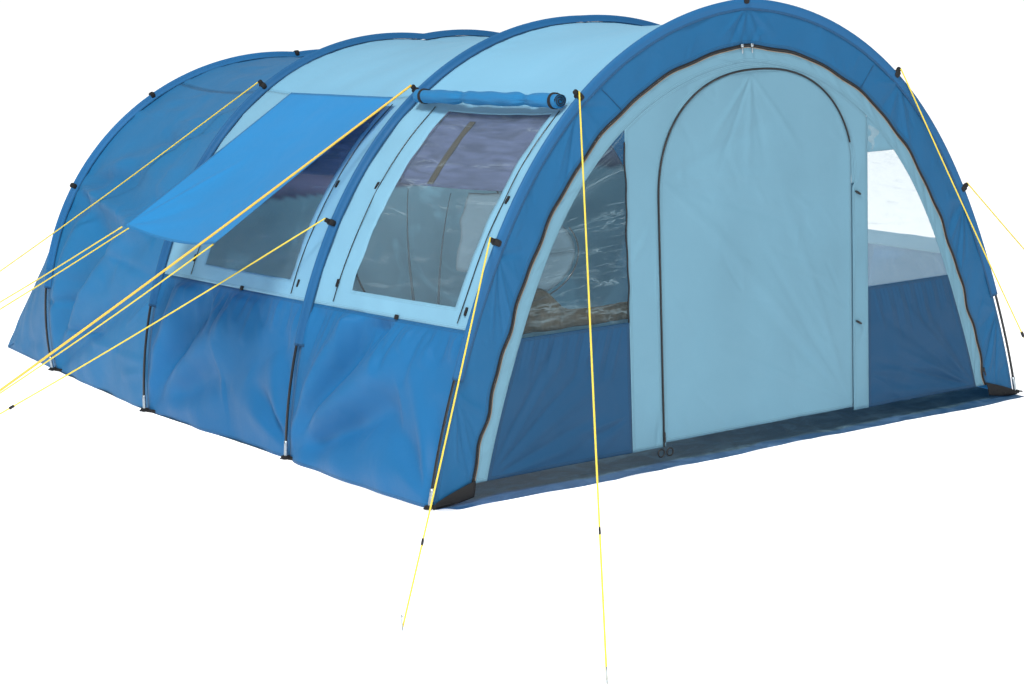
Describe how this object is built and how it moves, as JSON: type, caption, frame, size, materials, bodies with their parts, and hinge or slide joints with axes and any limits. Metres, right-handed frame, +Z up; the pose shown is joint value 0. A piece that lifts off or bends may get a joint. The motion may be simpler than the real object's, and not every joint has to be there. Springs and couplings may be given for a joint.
{
  "type": "tent on poles",
  "caption": "Tunnel tent on arched poles, with sleeved arches, clear side and front windows, an arched zip door, a propped window awning, a rear sleeping cabin, a groundsheet and guy ropes.",
  "frame": {"origin": "on the ground, at the middle of the tent's own box without the guy ropes", "axes": "+Z up, +Y towards the rear of the tent along the tunnel, +X to the right seen from the front; the front wall faces -Y"},
  "size_m": [6.4788, 7.4313, 2.018],
  "materials": {
    "pole": "black semi-gloss tube",
    "fly_dark": "coated polyester, satin",
    "fly_light": "coated polyester, satin",
    "awning_fabric": "coated polyester, sunlit",
    "clear_window": "clear flexible film",
    "zip": "black woven tape and moulded coil",
    "cabin_fabric": "breathable polyester, matt",
    "groundsheet": "woven coated sheet, matt",
    "guy_rope": "braided cord"
  },
  "bodies": {
    "tent": {"front_pole": "pole", "front_sleeve": "fly_dark", "second_pole": "pole", "second_sleeve": "fly_dark", "third_pole": "pole", "third_sleeve": "fly_dark", "rear_pole": "pole", "rear_sleeve": "fly_dark", "bay1_lower_wall_left": "fly_dark", "bay1_window_panel_left": "fly_light", "bay1_window_pane_left": "clear_window", "bay1_lower_wall_right": "fly_dark", "bay1_window_panel_right": "fly_light", "bay1_window_pane_right": "clear_window", "bay1_roof": "fly_light", "bay2_lower_wall_left": "fly_dark", "bay2_window_panel_left": "fly_light", "bay2_window_pane_left": "clear_window", "bay2_lower_wall_right": "fly_dark", "bay2_window_panel_right": "fly_light", "bay2_window_pane_right": "clear_window", "bay2_roof": "fly_light", "bay3_wall_left": "fly_dark", "bay3_wall_right": "fly_dark", "bay3_roof": "fly_dark", "rear_wall": "fly_dark", "front_hood": "fly_dark", "front_lower_panel_left": "fly_dark", "front_lower_panel_right": "fly_dark", "bay1_cover_roll_left": "fly_dark", "bay1_cover_roll_right": "fly_dark", "bay2_cover_roll_right": "fly_dark", "front_surround": "fly_light", "front_window_pane_left": "clear_window", "front_window_pane_right": "clear_window", "front_zip": "zip", "door_zip": "zip", "groundsheet": "groundsheet", "cabin_body": "cabin_fabric", "cabin_front": "cabin_fabric", "guy_front_left_upper": "guy_rope", "guy_front_left_lower": "guy_rope", "guy_second_left_upper": "guy_rope", "guy_second_left_lower": "guy_rope", "guy_third_left_upper": "guy_rope", "guy_third_left_lower": "guy_rope", "guy_awning_rear": "guy_rope", "guy_awning_front": "guy_rope", "guy_front_right_upper": "guy_rope", "guy_front_right_lower": "guy_rope", "guy_second_right_upper": "guy_rope", "guy_second_right_lower": "guy_rope", "guy_third_right_upper": "guy_rope", "guy_third_right_lower": "guy_rope"},
    "door": {"door": "fly_light"},
    "awning": {"awning": "awning_fabric"},
    "door_slider": {"door_zip_slider": "zip"},
    "front_slider": {"front_zip_slider": "zip"}
  },
  "joints": [
    {"name": "door_swing", "type": "hinge", "parent": "tent", "child": "door", "pos_m": [0.7111, -2.5744, 0.9], "axis": [0, 0, 1], "range_deg": [0, 100]},
    {"name": "awning_tilt", "type": "hinge", "parent": "tent", "child": "awning", "pos_m": [-0.9209, -0.7083, 1.606], "axis": [0, 1, 0], "range_deg": [0, 25]},
    {"name": "door_zip_run", "type": "slide", "parent": "tent", "child": "door_slider", "axis": [0, 0, 1], "range_m": [0, 0.98]},
    {"name": "front_zip_run", "type": "slide", "parent": "tent", "child": "front_slider", "axis": [-0.3094, 0, 0.9509], "range_m": [0, 0.34]}
  ]
}
